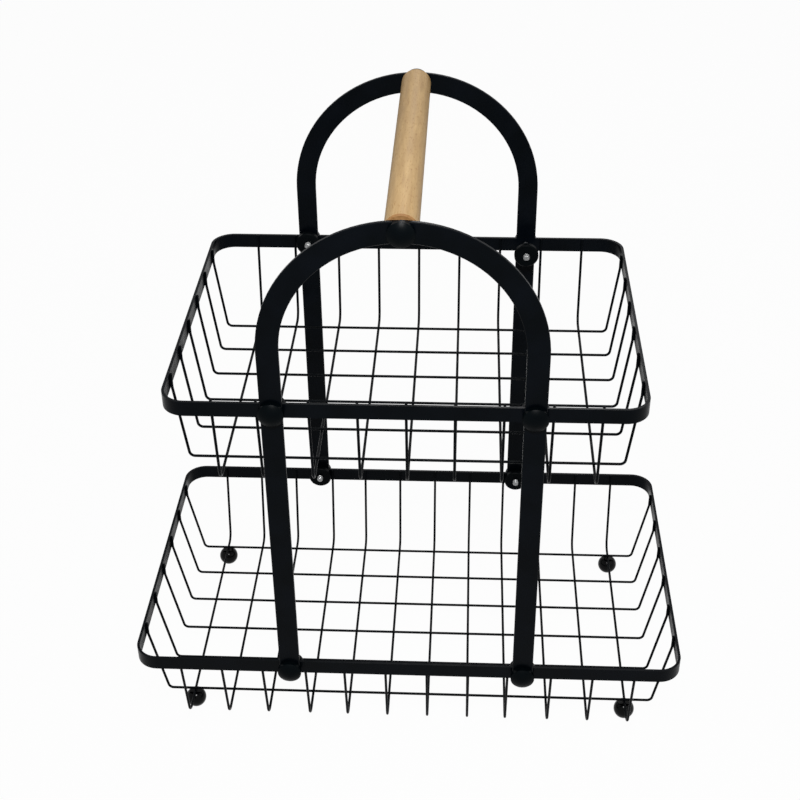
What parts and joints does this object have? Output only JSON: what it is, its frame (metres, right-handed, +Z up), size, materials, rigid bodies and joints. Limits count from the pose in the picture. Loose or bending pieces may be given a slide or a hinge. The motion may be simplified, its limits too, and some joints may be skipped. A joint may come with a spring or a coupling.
{
  "type": "tiered wire basket",
  "caption": "Two wire baskets one above the other, carried by two flat-bar arches with a round wooden handle.",
  "frame": {"origin": "on the table, under the middle of the two rims", "axes": "+X to the right along the long side, +Y to the back, +Z up"},
  "size_m": [0.412, 0.2628, 0.458],
  "materials": {
    "black_coat": "satin",
    "foot_black": "gloss",
    "knob_black": "satin",
    "nut_black": "satin",
    "screw_zinc": "satin",
    "insert_brass": "satin",
    "handle_wood": "satin"
  },
  "bodies": {
    "basket": {"upper_rim": "black_coat", "upper_long_wires": "black_coat", "upper_cross_wires": "black_coat", "lower_rim": "black_coat", "lower_long_wires": "black_coat", "lower_cross_wires": "black_coat", "front_arch": "black_coat", "rear_arch": "black_coat", "handle": "handle_wood", "front_upper_left_knob": "knob_black", "front_upper_left_screw": "screw_zinc", "front_upper_right_knob": "knob_black", "front_upper_right_screw": "screw_zinc", "front_lower_left_knob": "knob_black", "front_lower_left_screw": "screw_zinc", "front_lower_right_knob": "knob_black", "front_lower_right_screw": "screw_zinc", "front_handle_knob": "knob_black", "front_handle_screw": "screw_zinc", "front_handle_insert": "insert_brass", "rear_upper_left_knob": "knob_black", "rear_upper_left_screw": "screw_zinc", "rear_upper_right_knob": "knob_black", "rear_upper_right_screw": "screw_zinc", "rear_lower_left_knob": "knob_black", "rear_lower_left_screw": "screw_zinc", "rear_lower_right_knob": "knob_black", "rear_lower_right_screw": "screw_zinc", "rear_handle_knob": "knob_black", "rear_handle_screw": "screw_zinc", "rear_handle_insert": "insert_brass", "front_left_foot": "foot_black", "front_right_foot": "foot_black", "rear_left_foot": "foot_black", "rear_right_foot": "foot_black"},
    "front_upper_left_nut": {"front_upper_left_nut": "nut_black"},
    "front_upper_right_nut": {"front_upper_right_nut": "nut_black"},
    "front_lower_left_nut": {"front_lower_left_nut": "nut_black"},
    "front_lower_right_nut": {"front_lower_right_nut": "nut_black"},
    "rear_upper_left_nut": {"rear_upper_left_nut": "nut_black"},
    "rear_upper_right_nut": {"rear_upper_right_nut": "nut_black"},
    "rear_lower_left_nut": {"rear_lower_left_nut": "nut_black"},
    "rear_lower_right_nut": {"rear_lower_right_nut": "nut_black"}
  },
  "joints": [
    {"name": "front_upper_left_nut_turn", "type": "hinge", "parent": "basket", "child": "front_upper_left_nut", "pos_m": [-0.087, -0.12, 0.3135], "axis": [0, 1, 0], "continuous": true},
    {"name": "front_upper_right_nut_turn", "type": "hinge", "parent": "basket", "child": "front_upper_right_nut", "pos_m": [0.087, -0.12, 0.3135], "axis": [0, 1, 0], "continuous": true},
    {"name": "front_lower_left_nut_turn", "type": "hinge", "parent": "basket", "child": "front_lower_left_nut", "pos_m": [-0.087, -0.12, 0.0805], "axis": [0, 1, 0], "continuous": true},
    {"name": "front_lower_right_nut_turn", "type": "hinge", "parent": "basket", "child": "front_lower_right_nut", "pos_m": [0.087, -0.12, 0.0805], "axis": [0, 1, 0], "continuous": true},
    {"name": "rear_upper_left_nut_turn", "type": "hinge", "parent": "basket", "child": "rear_upper_left_nut", "pos_m": [-0.087, 0.12, 0.3135], "axis": [0, -1, 0], "continuous": true},
    {"name": "rear_upper_right_nut_turn", "type": "hinge", "parent": "basket", "child": "rear_upper_right_nut", "pos_m": [0.087, 0.12, 0.3135], "axis": [0, -1, 0], "continuous": true},
    {"name": "rear_lower_left_nut_turn", "type": "hinge", "parent": "basket", "child": "rear_lower_left_nut", "pos_m": [-0.087, 0.12, 0.0805], "axis": [0, -1, 0], "continuous": true},
    {"name": "rear_lower_right_nut_turn", "type": "hinge", "parent": "basket", "child": "rear_lower_right_nut", "pos_m": [0.087, 0.12, 0.0805], "axis": [0, -1, 0], "continuous": true}
  ]
}
